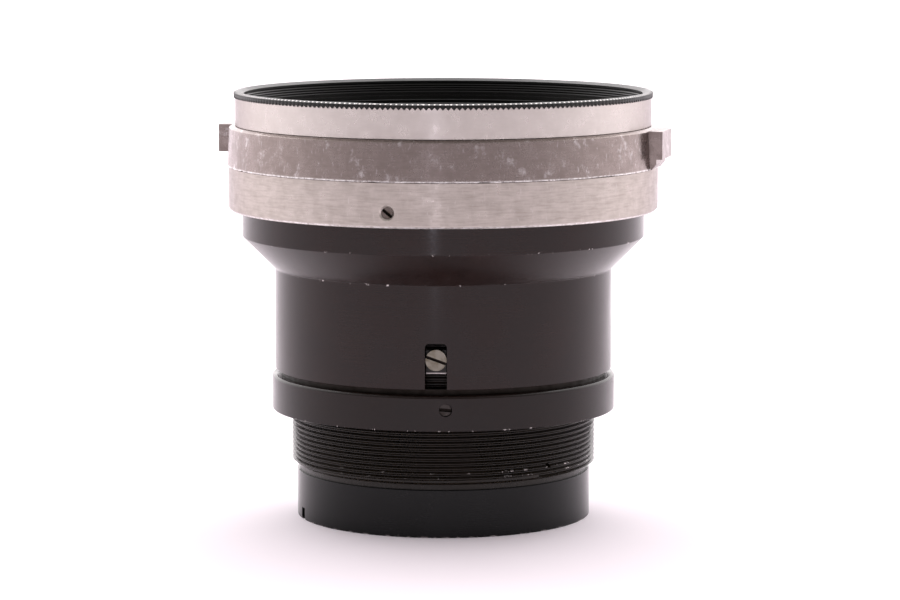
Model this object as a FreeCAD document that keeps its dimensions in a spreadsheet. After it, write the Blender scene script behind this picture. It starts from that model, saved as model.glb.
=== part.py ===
import FreeCAD, Part
import math
import os
import Sketcher

# Large camera lens: a threaded rear tube with a black sleeve that slides on it, and a turned
# aluminium head with a ten-bladed iris.  Millimetres.  The optical axis is Z, with +Z towards
# the subject and z = 0 at the rear face.  Azimuths are in degrees about Z, from -Y towards +X.

DIMENSIONS = {
    # Rear ring and threaded tube
    "base_radius": 30.0,
    "base_height": 9.6,
    "base_bore_radius": 24.5,
    "base_spigot_height": 2.9,
    "base_chamfer": 1.0,
    "notch_width": 2.0,
    "notch_height": 2.4,
    "notch_depth": 1.2,
    "thread_radius": 31.0,
    "thread_pitch": 1.0,
    "thread_depth": 0.6,
    "thread_crest": 0.125,
    "thread_bottom": 11.2,
    "thread_turns": 33,
    "undercut_radius": 29.5,
    "tube_top": 46.0,
    "tube_bore_radius": 27.5,
    "tube_upper_radius": 28.6,
    "tube_lip_radius": 25.5,
    "tube_lip_bottom": 34.0,
    "tube_lip_height": 1.5,
    # Key and its screw
    "key_width": 4.0,
    "key_bottom": 33.3,
    "key_top": 38.0,
    "key_height": 1.5,
    "key_slot_width": 4.35,
    "key_slot_top": 39.5,
    "key_slot_corner": 0.9,
    "key_slot_depth": 6.0,
    "key_screw_height": 36.1,
    "key_screw_radius": 2.1,
    "key_screw_head": 1.2,
    "key_screw_shank_radius": 1.0,
    "screw_slot_width": 0.55,
    "screw_slot_depth": 0.5,
    # Rear glass, spacer and retainer
    "rear_glass_radius": 27.4,
    "rear_crown_bottom": 15.0,
    "rear_crown_top": 24.0,
    "rear_crown_back_curve": 150.0,
    "rear_crown_front_curve": 90.0,
    "rear_flint_bottom": 28.5,
    "rear_flint_hollow": 2.5,
    "rear_flint_curve": 80.0,
    "rear_spacer_bottom": 20.3,
    "rear_spacer_bore": 25.8,
    "rear_retainer_bottom": 14.6,
    "rear_retainer_top": 17.1,
    # Register ring and thrust washer
    "running_gap": 0.06,
    "register_radius": 35.05,
    "register_bottom": 22.1,
    "register_top": 29.2,
    "register_chamfer": 0.4,
    "register_screw_height": 26.4,
    "register_screw_radius": 1.25,
    "washer_radius": 33.2,
    # Sleeve
    "sleeve_bottom": 30.3,
    "sleeve_radius": 34.4,
    "cone_bottom": 50.85,
    "cone_top": 57.5,
    "flange_radius": 41.0,
    "flange_top": 66.0,
    "sleeve_guide_top": 48.0,
    "sleeve_cavity_bottom": 56.0,
    "sleeve_cavity_radius": 38.5,
    # Head tube, bands and rings
    "head_bore_radius": 38.8,
    "head_lip_radius": 36.0,
    "head_lip_height": 1.5,
    "head_top": 80.06,
    "lower_band_radius": 43.75,
    "lower_band_bottom": 62.9,
    "lower_band_top": 71.8,
    "lower_band_chamfer": 0.5,
    "grub_screw_radius": 1.15,
    "grub_screw_height": 65.9,
    "grub_countersink_radius": 1.5,
    "grub_countersink_depth": 0.35,
    "grub_screw_recess": 0.45,
    "upper_ring_radius": 42.35,
    "upper_ring_top": 86.25,
    "upper_ring_bore": 41.4,
    "upper_web_top": 81.5,
    "upper_web_radius": 38.5,
    "bezel_radius": 42.65,
    "bezel_top": 86.9,
    "bezel_lip_radius": 41.5,
    "bezel_shoulder_radius": 38.6,
    "filter_radius": 40.6,
    "filter_bottom": 83.4,
    "filter_top": 86.4,
    # Front cell and its glass
    "cell_flange_radius": 41.3,
    "cell_flange_top": 82.6,
    "cell_bottom": 75.4,
    "cell_bore_radius": 36.0,
    "cell_lip_radius": 33.5,
    "cell_lip_top": 76.4,
    "front_glass_radius": 35.9,
    "front_crown_top": 83.2,
    "front_crown_curve": 200.0,
    "front_joint_low": 77.6,
    "front_joint_curve": 400.0,
    "front_retainer_bore": 34.0,
    "front_retainer_bottom": 80.3,
    "front_retainer_top": 82.0,
    # Aperture ring and lugs
    "aperture_ring_bottom": 71.9,
    "aperture_ring_shoulder": 79.55,
    "aperture_ring_top": 80.0,
    "aperture_ring_radius_low": 44.0,
    "aperture_ring_radius_high": 43.6,
    "aperture_ring_radius_top": 42.8,
    "lug_radius": 46.2,
    "lug_width": 10.5,
    "lug_bottom": 74.0,
    "lug_top": 79.6,
    "lug_root_radius": 42.9,
    "heel_radius": 45.0,
    "heel_bottom": 73.0,
    "heel_foot_radius": 44.05,
    # Iris
    "iris_floor_bottom": 67.5,
    "iris_floor_top": 69.0,
    "iris_seat_radius": 27.0,
    "iris_wall_radius": 37.96,
    "iris_wall_top": 74.65,
    "rotor_radius": 37.9,
    "rotor_bore_radius": 30.0,
    "rotor_bottom": 72.8,
    "rotor_top": 74.6,
    "iris_retainer_top": 75.35,
    "iris_retainer_bore": 32.0,
    "blade_inner_radius": 26.8,
    "blade_outer_radius": 34.0,
    "blade_span": 100.0,
    "blade_thickness": 0.15,
    "blade_level": 69.4,
    "blade_level_step": 0.3,
    "blade_pivot_radius": 36.5,
    "blade_arm": 7.0,
    "blade_ear_radius": 1.15,
    "blade_pin_radius": 0.6,
    "blade_pin_gap": 0.15,
    "blade_pin_bottom": 67.9,
    "blade_pin_end_gap": 0.1,
    "blade_pin_top": 74.2,
    "iris_turn": 30.0,
    "blade_turn": 20.0,
    "drive_screw_radius": 0.8,
    "drive_screw_height": 73.7,
    "drive_screw_inner": 36.6,
    "drive_screw_outer": 43.3,
    "drive_slot_gap": 0.4,
    "window_overcut": 0.5,
}

# Places that are directions or counts, not lengths
BLADE_COUNT = 10
KEY_AZIMUTH = -2.35
REGISTER_SCREW_AZIMUTH = 0.7
GRUB_SCREW_AZIMUTHS = (-14.4, 105.6, 225.6)
NOTCH_AZIMUTHS = (-72.0, 108.0)
RIGHT_LUG_AZIMUTH = 76.6
LEFT_LUG_AZIMUTH = RIGHT_LUG_AZIMUTH + 180.0
# How far each screw's slot is turned from level, in degrees.
KEY_SCREW_ROLL = -20.0
REGISTER_SCREW_ROLL = -5.0
GRUB_SCREW_ROLL = -38.0
DRIVE_SCREW_ROLL = 0.0
# How far a cutter runs past the faces that it opens, in mm.
CUT_MARGIN = 1.0

SHEET = "Sizes"
Z_AXIS = FreeCAD.Vector(0, 0, 1)
X_AXIS = FreeCAD.Vector(1, 0, 0)

doc = FreeCAD.newDocument("lens")
sheet = doc.addObject("Spreadsheet::Sheet", SHEET)
for row, (alias, number) in enumerate(DIMENSIONS.items(), start=1):
    sheet.set("A%d" % row, alias)
    sheet.set("B%d" % row, str(number))
    sheet.setAlias("B%d" % row, alias)
doc.recompute()


class Size:
    """A size from the sheet, or a sum or product of such sizes: its number and its expression."""

    def __init__(self, value, text):
        self.value = value
        self.text = text

    def join(self, sign, other, value):
        other_text = other.text if isinstance(other, Size) else repr(other)
        return Size(value, "(%s %s %s)" % (self.text, sign, other_text))

    def __add__(self, other):
        return self.join("+", other, self.value + number_of(other))

    def __sub__(self, other):
        return self.join("-", other, self.value - number_of(other))

    def __mul__(self, other):
        return self.join("*", other, self.value * number_of(other))

    def __truediv__(self, other):
        return self.join("/", other, self.value / number_of(other))


def number_of(size):
    return size.value if isinstance(size, Size) else size


def size(alias):
    return Size(DIMENSIONS[alias], "%s.%s" % (SHEET, alias))


def bind(item, **values):
    """Ties properties of an object to expressions of the sheet."""
    for name, value in values.items():
        if isinstance(value, Size):
            item.setExpression(name, value.text)
        else:
            setattr(item, name, value)
    return item


def new(kind, name, **values):
    """A Part object whose properties are bound to the sheet."""
    return bind(doc.addObject(kind, name), **values)


def cylinder(name, radius, bottom, top, x=0.0, y=0.0, angle=360.0):
    """An upright cylinder from one height to another."""
    item = new("Part::Cylinder", name, Radius=radius, Height=top - bottom, Angle=angle)
    place(item, x, y, bottom)
    return item


def place(item, x, y, z):
    """Binds an object's position to the sheet."""
    for axis, value in (("x", x), ("y", y), ("z", z)):
        if isinstance(value, Size):
            item.setExpression("Placement.Base." + axis, value.text)
        else:
            setattr(item.Placement.Base, axis, value)


def cut(name, base, tool):
    return new("Part::Cut", name, Base=base, Tool=tool)


def fuse(name, shapes):
    return new("Part::MultiFuse", name, Shapes=shapes)


def common(name, shapes):
    return new("Part::MultiCommon", name, Shapes=shapes)


def radial_placement(azimuth, height, radius=0.0, roll=0.0):
    """Turns a local Z axis outwards along an azimuth: local X runs round, local Y runs up."""
    face = FreeCAD.Rotation(Z_AXIS, azimuth)
    turn = face * FreeCAD.Rotation(X_AXIS, 90) * FreeCAD.Rotation(Z_AXIS, roll)
    out = face.multVec(FreeCAD.Vector(0, -radius, 0))
    return FreeCAD.Placement(out + FreeCAD.Vector(0, 0, height), turn)


def body_plane(body, role):
    return [item for item in body.Origin.OriginFeatures if item.Role == role][0]


def outline_sketch(body, name, plane_role, corners):
    """A closed polygon whose every corner is tied to the sheet."""
    sketch = body.newObject("Sketcher::SketchObject", name)
    sketch.AttachmentSupport = (body_plane(body, plane_role), [""])
    sketch.MapMode = "FlatFace"
    points = [FreeCAD.Vector(number_of(across), number_of(up), 0) for across, up in corners]
    count = len(points)
    for index in range(count):
        sketch.addGeometry(Part.LineSegment(points[index], points[(index + 1) % count]), False)
    for index in range(count):
        sketch.addConstraint(Sketcher.Constraint("Coincident", index, 2, (index + 1) % count, 1))
    for index, corner in enumerate(corners):
        for kind, value, other_axis in (("DistanceX", corner[0], -2), ("DistanceY", corner[1], -1)):
            if number_of(value) == 0:
                sketch.addConstraint(Sketcher.Constraint("PointOnObject", index, 1, other_axis))
                continue
            made = sketch.addConstraint(Sketcher.Constraint(kind, -1, 1, index, 1, number_of(value)))
            sketch.setExpression("Constraints[%d]" % made, value.text)
    return sketch


def turned(name, corners):
    """A body made on the lathe: its half section of (radius, height) corners spun about Z."""
    body = doc.addObject("PartDesign::Body", name)
    sketch = outline_sketch(body, name + "_section", "XZ_Plane", corners)
    spin = body.newObject("PartDesign::Revolution", name + "_spin")
    spin.Profile = sketch
    spin.ReferenceAxis = (sketch, ["V_Axis"])
    spin.Angle = 360.0
    body.Tip = spin
    return body


def ring(name, outer, inner, bottom, top):
    """A plain ring of rectangular section."""
    return turned(name, [(outer, bottom), (outer, top), (inner, top), (inner, bottom)])


def sphere(name, curve, centre):
    return bind(new("Part::Sphere", name, Radius=curve), **{"Placement.Base.z": centre})


def slotted_screw(name, azimuth, height, stages, roll):
    """A screw that points outwards: stacked cylinders of (radius, inner, outer), slotted at its end."""
    rods = []
    for index, (radius, inner, outer) in enumerate(stages):
        rods.append(cylinder("%s_rod_%d" % (name, index), radius, inner, outer))
    solid = fuse(name + "_blank", rods) if len(rods) > 1 else rods[0]
    head_radius, _, head_outer = stages[-1]
    saw = new("Part::Box", name + "_saw", Length=head_radius * 3, Width=size("screw_slot_width"),
              Height=size("screw_slot_depth") * 2)
    place(saw, head_radius * -1.5, size("screw_slot_width") / -2, head_outer - size("screw_slot_depth"))
    screw = cut(name, solid, saw)
    screw.Placement = radial_placement(azimuth, number_of(height), 0.0, roll)
    return screw


sub_parts = []


def keep(item, label):
    """Gives a finished sub-part its label, which names its file."""
    item.Label = label
    sub_parts.append(item)
    return item


# ---------------------------------------------------------------- rear barrel

def threaded_tube():
    """The fixed tube: V grooves at the thread's pitch from its foot to its top."""
    crest = size("thread_radius")
    body = turned("threaded_tube_body", [
        (size("undercut_radius"), size("base_height")),
        (size("undercut_radius"), size("thread_bottom") - size("thread_depth")),
        (crest, size("thread_bottom")),
        (crest, size("tube_top") - size("thread_depth")),
        (crest - size("thread_depth"), size("tube_top")),
        (size("tube_upper_radius"), size("tube_top")),
        (size("tube_upper_radius"), size("tube_lip_bottom") + size("tube_lip_height")),
        (size("tube_lip_radius"), size("tube_lip_bottom") + size("tube_lip_height")),
        (size("tube_lip_radius"), size("tube_lip_bottom")),
        (size("tube_bore_radius"), size("tube_lip_bottom")),
        (size("tube_bore_radius"), size("base_height")),
    ])
    land = size("thread_crest")
    groove_low = size("thread_bottom") + land
    groove_middle = size("thread_bottom") + (size("thread_pitch") + land) / 2
    section = outline_sketch(body, "thread_section", "XZ_Plane", [
        (crest, groove_low),
        (crest - size("thread_depth"), groove_middle),
        (crest, size("thread_bottom") + size("thread_pitch")),
    ])
    groove = body.newObject("PartDesign::Groove", "thread_groove")
    groove.Profile = section
    groove.ReferenceAxis = (section, ["V_Axis"])
    groove.Angle = 360.0
    body.Tip = groove
    rows = body.newObject("PartDesign::LinearPattern", "thread_rows")
    rows.Originals = [groove]
    rows.Direction = (section, ["V_Axis"])
    bind(rows, Length=size("thread_pitch") * (size("thread_turns") - 1), Occurrences=size("thread_turns"))
    body.Tip = rows
    return keep(body, "threaded_tube")


def rear_ring():
    """The smooth foot, with two spanner notches in its rear edge and a spigot into the tube."""
    spigot_top = size("base_height") + size("base_spigot_height")
    blank = turned("rear_ring_blank", [
        (size("base_radius"), 0),
        (size("base_radius"), size("base_height")),
        (size("tube_bore_radius"), size("base_height")),
        (size("tube_bore_radius"), spigot_top),
        (size("base_bore_radius"), spigot_top),
        (size("base_bore_radius"), size("base_chamfer")),
        (size("base_bore_radius") + size("base_chamfer"), 0),
    ])
    notches = []
    for index, azimuth in enumerate(NOTCH_AZIMUTHS, start=1):
        tool = new("Part::Box", "rear_notch_%d" % index, Length=size("notch_width"),
                   Width=size("notch_height") * 2, Height=size("notch_depth") * 2)
        half_width = number_of(size("notch_width")) / 2
        inner = number_of(size("base_radius") - size("notch_depth"))
        offset = FreeCAD.Placement(FreeCAD.Vector(-half_width, -number_of(size("notch_height")), inner),
                                   FreeCAD.Rotation())
        tool.Placement = radial_placement(azimuth, 0.0) * offset
        notches.append(tool)
    return keep(cut("rear_ring", blank, fuse("rear_notches", notches)), "rear_ring")


def key_block():
    """The key under its screw: it stands on the tube and fills the sleeve's slot."""
    outer = size("thread_radius") + size("key_height")
    block = new("Part::Box", "key_blank", Length=size("key_width"),
                Width=size("key_top") - size("key_bottom"), Height=outer - size("undercut_radius"))
    offset = FreeCAD.Placement(FreeCAD.Vector(-number_of(size("key_width")) / 2, 0,
                                              number_of(size("undercut_radius"))), FreeCAD.Rotation())
    block.Placement = radial_placement(KEY_AZIMUTH, number_of(size("key_bottom"))) * offset
    seat = cylinder("key_seat", size("thread_radius"), size("base_height"), size("tube_top"))
    drill = new("Part::Cylinder", "key_drill", Radius=size("key_screw_shank_radius"), Height=outer * 2)
    drill.Placement = radial_placement(KEY_AZIMUTH, number_of(size("key_screw_height")))
    return keep(cut("key_block", block, fuse("key_tools", [seat, drill])), "key_block")


def key_screw():
    """Cheese-head screw that holds the key."""
    seat = size("thread_radius") + size("key_height")
    stages = [
        (size("key_screw_shank_radius"), size("thread_radius"), seat),
        (size("key_screw_radius"), seat, seat + size("key_screw_head")),
    ]
    screw = slotted_screw("key_screw", KEY_AZIMUTH, size("key_screw_height"), stages, KEY_SCREW_ROLL)
    return keep(screw, "key_screw")


def rear_glass():
    """A biconvex rear crown and a plano-concave flint, with the spacer and retainer that hold them."""
    radius = size("rear_glass_radius")
    blank = cylinder("rear_crown_blank", radius, size("rear_crown_bottom"), size("rear_crown_top"))
    front = sphere("rear_crown_front", size("rear_crown_front_curve"),
                   size("rear_crown_top") - size("rear_crown_front_curve"))
    back = sphere("rear_crown_back", size("rear_crown_back_curve"),
                  size("rear_crown_bottom") + size("rear_crown_back_curve"))
    keep(common("rear_crown_lens", [blank, front, back]), "rear_crown_lens")
    disc = cylinder("rear_flint_blank", radius, size("rear_flint_bottom"), size("tube_lip_bottom"))
    hollow = sphere("rear_flint_hollow", size("rear_flint_curve"),
                    size("rear_flint_bottom") + size("rear_flint_hollow") - size("rear_flint_curve"))
    keep(cut("rear_flint_lens", disc, hollow), "rear_flint_lens")
    keep(ring("rear_spacer_ring", radius, size("rear_spacer_bore"), size("rear_spacer_bottom"),
              size("rear_flint_bottom")), "rear_spacer_ring")
    keep(ring("rear_retainer", size("tube_bore_radius"), size("tube_lip_radius"),
              size("rear_retainer_bottom"), size("rear_retainer_top")), "rear_retainer")


# ---------------------------------------------------------------- register ring

def register_ring():
    """The ring nut on the thread, with the hole for its set screw."""
    edge = size("register_chamfer")
    bore = size("thread_radius") + size("running_gap")
    blank = turned("register_ring_blank", [
        (bore, size("register_bottom")),
        (size("register_radius"), size("register_bottom")),
        (size("register_radius"), size("register_top") - edge),
        (size("register_radius") - edge, size("register_top")),
        (bore, size("register_top")),
    ])
    drill = new("Part::Cylinder", "register_drill", Radius=size("register_screw_radius"),
                Height=size("register_radius") * 2)
    drill.Placement = radial_placement(REGISTER_SCREW_AZIMUTH, number_of(size("register_screw_height")))
    keep(cut("register_ring", blank, drill), "register_ring")
    stages = [(size("register_screw_radius"), bore + size("running_gap"), size("register_radius") - edge)]
    keep(slotted_screw("register_set_screw", REGISTER_SCREW_AZIMUTH, size("register_screw_height"), stages,
                       REGISTER_SCREW_ROLL), "register_set_screw")


def thrust_washer():
    """The slip washer between the register ring and the sleeve."""
    keep(ring("thrust_washer", size("washer_radius"), size("thread_radius") + size("running_gap"),
              size("register_top"), size("sleeve_bottom")), "thrust_washer")


# ---------------------------------------------------------------- front barrel

def barrel_sleeve():
    """The black sleeve: it slides on the thread's crests, guided by the key in its slot."""
    bore = size("thread_radius") + size("running_gap")
    blank = turned("barrel_sleeve_blank", [
        (bore, size("sleeve_bottom")),
        (size("sleeve_radius"), size("sleeve_bottom")),
        (size("sleeve_radius"), size("cone_bottom")),
        (size("flange_radius"), size("cone_top")),
        (size("flange_radius"), size("flange_top")),
        (size("sleeve_cavity_radius"), size("flange_top")),
        (size("sleeve_cavity_radius"), size("sleeve_cavity_bottom")),
        (bore, size("sleeve_guide_top")),
    ])
    keep(cut("barrel_sleeve", blank, key_slot()), "barrel_sleeve")


def key_slot():
    """Cutter from inside the sleeve's bore outwards: open below, with two rounded upper corners."""
    depth = size("key_slot_depth")
    corner = size("key_slot_corner")
    half_width = size("key_slot_width") / 2
    rise = size("key_slot_top") - size("sleeve_bottom")
    inner = number_of(size("undercut_radius"))
    base = radial_placement(KEY_AZIMUTH, number_of(size("sleeve_bottom")))
    tools = []
    for name, half, low, high in (("wide", half_width, rise / -2, rise - corner),
                                  ("narrow", half_width - corner, rise / -2, rise)):
        box = new("Part::Box", "key_slot_" + name, Length=half * 2, Width=high - low, Height=depth)
        offset = FreeCAD.Vector(-number_of(half), number_of(low), inner)
        box.Placement = base * FreeCAD.Placement(offset, FreeCAD.Rotation())
        tools.append(box)
    for name, side in (("left", -1), ("right", 1)):
        rod = new("Part::Cylinder", "key_slot_" + name, Radius=corner, Height=depth)
        across = side * number_of(half_width - corner)
        offset = FreeCAD.Vector(across, number_of(rise - corner), inner)
        rod.Placement = base * FreeCAD.Placement(offset, FreeCAD.Rotation())
        tools.append(rod)
    return fuse("key_slot", tools)


def drive_slot(name, inner, outer):
    """The window that the drive screw sweeps through as the aperture ring turns."""
    half_height = size("drive_screw_radius") + size("drive_slot_gap")
    margin = math.degrees(number_of(half_height) / number_of(inner))
    low = size("drive_screw_height") - half_height
    high = size("drive_screw_height") + half_height
    sweep = number_of(size("iris_turn")) + 2 * margin
    sector = cylinder(name + "_sector", outer, low, high, angle=sweep)
    core = cylinder(name + "_core", inner, low, high, angle=sweep)
    window = cut(name, sector, core)
    window.Placement = FreeCAD.Placement(FreeCAD.Vector(), FreeCAD.Rotation(Z_AXIS, drive_angle() - margin))
    return window


def drive_angle():
    """Direction of the drive screw from +X: half way between two cam slots, at the back."""
    slot_pitch = 360.0 / BLADE_COUNT
    spare = (slot_pitch - number_of(size("iris_turn"))) / 2
    return blade_arm_angle() + spare + 2 * slot_pitch


def blade_arm_angle():
    """Angle at the lens axis between a blade's pivot pin and its drive pin, in degrees."""
    return 2 * math.degrees(math.asin(DIMENSIONS["blade_arm"] / 2 / DIMENSIONS["blade_pivot_radius"]))


def head_tube():
    """The tube that carries the iris, the bands and the front cell."""
    lip_top = size("flange_top") + size("head_lip_height")
    blank = turned("head_tube_blank", [
        (size("flange_radius"), size("flange_top")),
        (size("flange_radius"), size("head_top")),
        (size("head_bore_radius"), size("head_top")),
        (size("head_bore_radius"), lip_top),
        (size("head_lip_radius"), lip_top),
        (size("head_lip_radius"), size("flange_top")),
    ])
    overcut = size("window_overcut")
    window = drive_slot("head_window", size("head_bore_radius") - overcut, size("flange_radius") + overcut)
    keep(cut("head_tube", blank, window), "head_tube")


def lower_band():
    """The lower aluminium band and the three slotted grub screws that lock it."""
    edge = size("lower_band_chamfer")
    blank = turned("lower_band_blank", [
        (size("flange_radius"), size("lower_band_bottom")),
        (size("lower_band_radius") - edge, size("lower_band_bottom")),
        (size("lower_band_radius"), size("lower_band_bottom") + edge),
        (size("lower_band_radius"), size("lower_band_top")),
        (size("flange_radius"), size("lower_band_top")),
    ])
    tools = []
    for index, azimuth in enumerate(GRUB_SCREW_AZIMUTHS, start=1):
        drill = new("Part::Cylinder", "grub_drill_%d" % index, Radius=size("grub_screw_radius"),
                    Height=size("lower_band_radius") * 2)
        drill.Placement = radial_placement(azimuth, number_of(size("grub_screw_height")))
        sink = new("Part::Cone", "grub_sink_%d" % index, Radius1=size("grub_screw_radius"),
                   Radius2=size("grub_countersink_radius"), Height=size("grub_countersink_depth"))
        start = number_of(size("lower_band_radius") - size("grub_countersink_depth"))
        sink.Placement = radial_placement(azimuth, number_of(size("grub_screw_height")), start)
        tools += [drill, sink]
    keep(cut("lower_band", blank, fuse("grub_holes", tools)), "lower_band")
    screw_end = size("lower_band_radius") - size("grub_screw_recess")
    stages = [(size("grub_screw_radius"), size("flange_radius"), screw_end)]
    for index, azimuth in enumerate(GRUB_SCREW_AZIMUTHS, start=1):
        name = "band_grub_screw_%d" % index
        keep(slotted_screw(name, azimuth, size("grub_screw_height"), stages, GRUB_SCREW_ROLL), name)


def upper_ring():
    """The upper aluminium ring, with a web that seats the front cell and the bezel."""
    keep(turned("upper_ring", [
        (size("upper_ring_radius"), size("head_top")),
        (size("upper_ring_radius"), size("upper_ring_top")),
        (size("upper_ring_bore"), size("upper_ring_top")),
        (size("upper_ring_bore"), size("upper_web_top")),
        (size("upper_web_radius"), size("upper_web_top")),
        (size("upper_web_radius"), size("head_top")),
    ]), "upper_ring")


def front_bezel():
    """The black rim: a lip over the upper ring, the plain filter bore, and a shoulder on the cell."""
    keep(turned("front_bezel", [
        (size("upper_ring_bore"), size("cell_flange_top")),
        (size("upper_ring_bore"), size("upper_ring_top")),
        (size("bezel_radius"), size("upper_ring_top")),
        (size("bezel_radius"), size("bezel_top")),
        (size("bezel_lip_radius"), size("bezel_top")),
        (size("filter_radius"), size("filter_top")),
        (size("filter_radius"), size("filter_bottom")),
        (size("bezel_shoulder_radius"), size("filter_bottom")),
        (size("bezel_shoulder_radius"), size("cell_flange_top")),
    ]), "front_bezel")


def front_cell():
    """The cell of the front glass, and the ring that holds the glass in it."""
    keep(turned("front_cell", [
        (size("upper_web_radius"), size("cell_bottom")),
        (size("upper_web_radius"), size("upper_web_top")),
        (size("cell_flange_radius"), size("upper_web_top")),
        (size("cell_flange_radius"), size("cell_flange_top")),
        (size("cell_bore_radius"), size("cell_flange_top")),
        (size("cell_bore_radius"), size("cell_lip_top")),
        (size("cell_lip_radius"), size("cell_lip_top")),
        (size("cell_lip_radius"), size("cell_bottom")),
    ]), "front_cell")
    keep(ring("front_retainer", size("cell_bore_radius"), size("front_retainer_bore"),
              size("front_retainer_bottom"), size("front_retainer_top")), "front_retainer")


def front_glass():
    """The cemented front doublet: a biconvex crown on a thin flint."""
    radius = size("front_glass_radius")
    joint_centre = size("front_joint_low") + size("front_joint_curve")
    blank = cylinder("front_crown_blank", radius, size("front_joint_low"), size("front_crown_top"))
    front = sphere("front_crown_face", size("front_crown_curve"),
                   size("front_crown_top") - size("front_crown_curve"))
    joint = sphere("front_joint_crown", size("front_joint_curve"), joint_centre)
    keep(common("front_crown_lens", [blank, front, joint]), "front_crown_lens")
    joint_curve = DIMENSIONS["front_joint_curve"]
    joint_sagitta = joint_curve - math.sqrt(joint_curve ** 2 - DIMENSIONS["front_glass_radius"] ** 2)
    disc_top = size("front_joint_low") + joint_sagitta
    disc = cylinder("front_flint_blank", radius, size("cell_lip_top"), disc_top)
    hollow = sphere("front_joint_flint", size("front_joint_curve"), joint_centre)
    keep(cut("front_flint_lens", disc, hollow), "front_flint_lens")


# ---------------------------------------------------------------- aperture ring

def drive_placement(radius=0.0):
    return radial_placement(drive_angle() + 90.0, number_of(size("drive_screw_height")), radius)


def aperture_ring():
    """The middle band, which turns on the head tube, and its two lugs."""
    bore = size("flange_radius") + size("running_gap")
    blank = turned("aperture_ring_blank", [
        (bore, size("aperture_ring_bottom")),
        (size("aperture_ring_radius_low"), size("aperture_ring_bottom")),
        (size("aperture_ring_radius_high"), size("aperture_ring_shoulder")),
        (size("aperture_ring_radius_top"), size("aperture_ring_top")),
        (bore, size("aperture_ring_top")),
    ])
    drill = new("Part::Cylinder", "aperture_ring_drill", Radius=size("drive_screw_radius"),
                Height=size("aperture_ring_radius_low") * 2)
    drill.Placement = drive_placement()
    band = keep(cut("aperture_ring", blank, drill), "aperture_ring")
    block = [
        (size("lug_root_radius"), size("lug_top")),
        (size("lug_radius"), size("lug_top")),
        (size("lug_radius"), size("lug_bottom")),
    ]
    plain_foot = [(size("lug_root_radius"), size("lug_bottom"))]
    heel = [
        (size("heel_radius"), size("lug_bottom")),
        (size("heel_radius"), size("heel_bottom")),
        (size("heel_foot_radius"), size("aperture_ring_bottom")),
        (size("lug_root_radius"), size("aperture_ring_bottom")),
    ]
    lug("right_lug", block + heel, RIGHT_LUG_AZIMUTH, band)
    lug("left_lug", block + plain_foot, LEFT_LUG_AZIMUTH, band)


def lug(name, outline, azimuth, band):
    """A square grip lug: its side outline padded to its width and fitted to the band."""
    body = doc.addObject("PartDesign::Body", name + "_blank")
    sketch = outline_sketch(body, name + "_outline", "XZ_Plane", outline)
    pad = body.newObject("PartDesign::Pad", name + "_pad")
    pad.Profile = sketch
    pad.SideType = "Symmetric"
    bind(pad, Length=size("lug_width"))
    body.Tip = pad
    body.Placement = FreeCAD.Placement(FreeCAD.Vector(), FreeCAD.Rotation(Z_AXIS, azimuth - 90.0))
    return keep(cut(name, body, band), name)


def iris_drive_screw():
    """The screw that carries the aperture ring's turn through the head tube to the rotor."""
    stages = [(size("drive_screw_radius"), size("drive_screw_inner"), size("drive_screw_outer"))]
    screw = slotted_screw("iris_drive_screw", drive_angle() + 90.0, size("drive_screw_height"), stages,
                          DRIVE_SCREW_ROLL)
    keep(screw, "iris_drive_screw")


# ---------------------------------------------------------------- iris

def polar(radius, degrees):
    angle = math.radians(degrees)
    return FreeCAD.Vector(radius * math.cos(angle), radius * math.sin(angle), 0)


def iris_housing():
    """The iris's floor and wall: a pivot hole for each blade and a window for the drive screw."""
    blank = turned("iris_housing_blank", [
        (size("iris_seat_radius"), size("iris_floor_bottom")),
        (size("head_bore_radius"), size("iris_floor_bottom")),
        (size("head_bore_radius"), size("iris_wall_top")),
        (size("iris_wall_radius"), size("iris_wall_top")),
        (size("iris_wall_radius"), size("iris_floor_top")),
        (size("iris_seat_radius"), size("iris_floor_top")),
    ])
    hole_radius = size("blade_pin_radius") + size("running_gap")
    overcut = size("window_overcut")
    tools = [drive_slot("housing_window", size("iris_wall_radius") - overcut,
                        size("head_bore_radius") + overcut)]
    for index in range(BLADE_COUNT):
        hole = new("Part::Cylinder", "pivot_hole_%02d" % (index + 1), Radius=hole_radius,
                   Height=size("iris_floor_top"))
        centre = polar(DIMENSIONS["blade_pivot_radius"], index * 360.0 / BLADE_COUNT)
        hole_bottom = DIMENSIONS["blade_pin_bottom"] - DIMENSIONS["blade_pin_end_gap"]
        hole.Placement.Base = centre + FreeCAD.Vector(0, 0, hole_bottom)
        tools.append(hole)
    keep(cut("iris_housing", blank, fuse("iris_housing_tools", tools)), "iris_housing")
    keep(ring("iris_retainer", size("head_bore_radius"), size("iris_retainer_bore"), size("iris_wall_top"),
              size("iris_retainer_top")), "iris_retainer")


def drive_pin_place(ring_turn):
    """Where the first blade's drive pin lies in the rotor after the ring has turned by some degrees."""
    swing = ring_turn * DIMENSIONS["blade_turn"] / DIMENSIONS["iris_turn"]
    arm_direction = 90.0 + blade_arm_angle() / 2
    pin = polar(DIMENSIONS["blade_pivot_radius"], 0.0) + polar(DIMENSIONS["blade_arm"], arm_direction + swing)
    return FreeCAD.Rotation(Z_AXIS, -ring_turn).multVec(pin)


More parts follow.
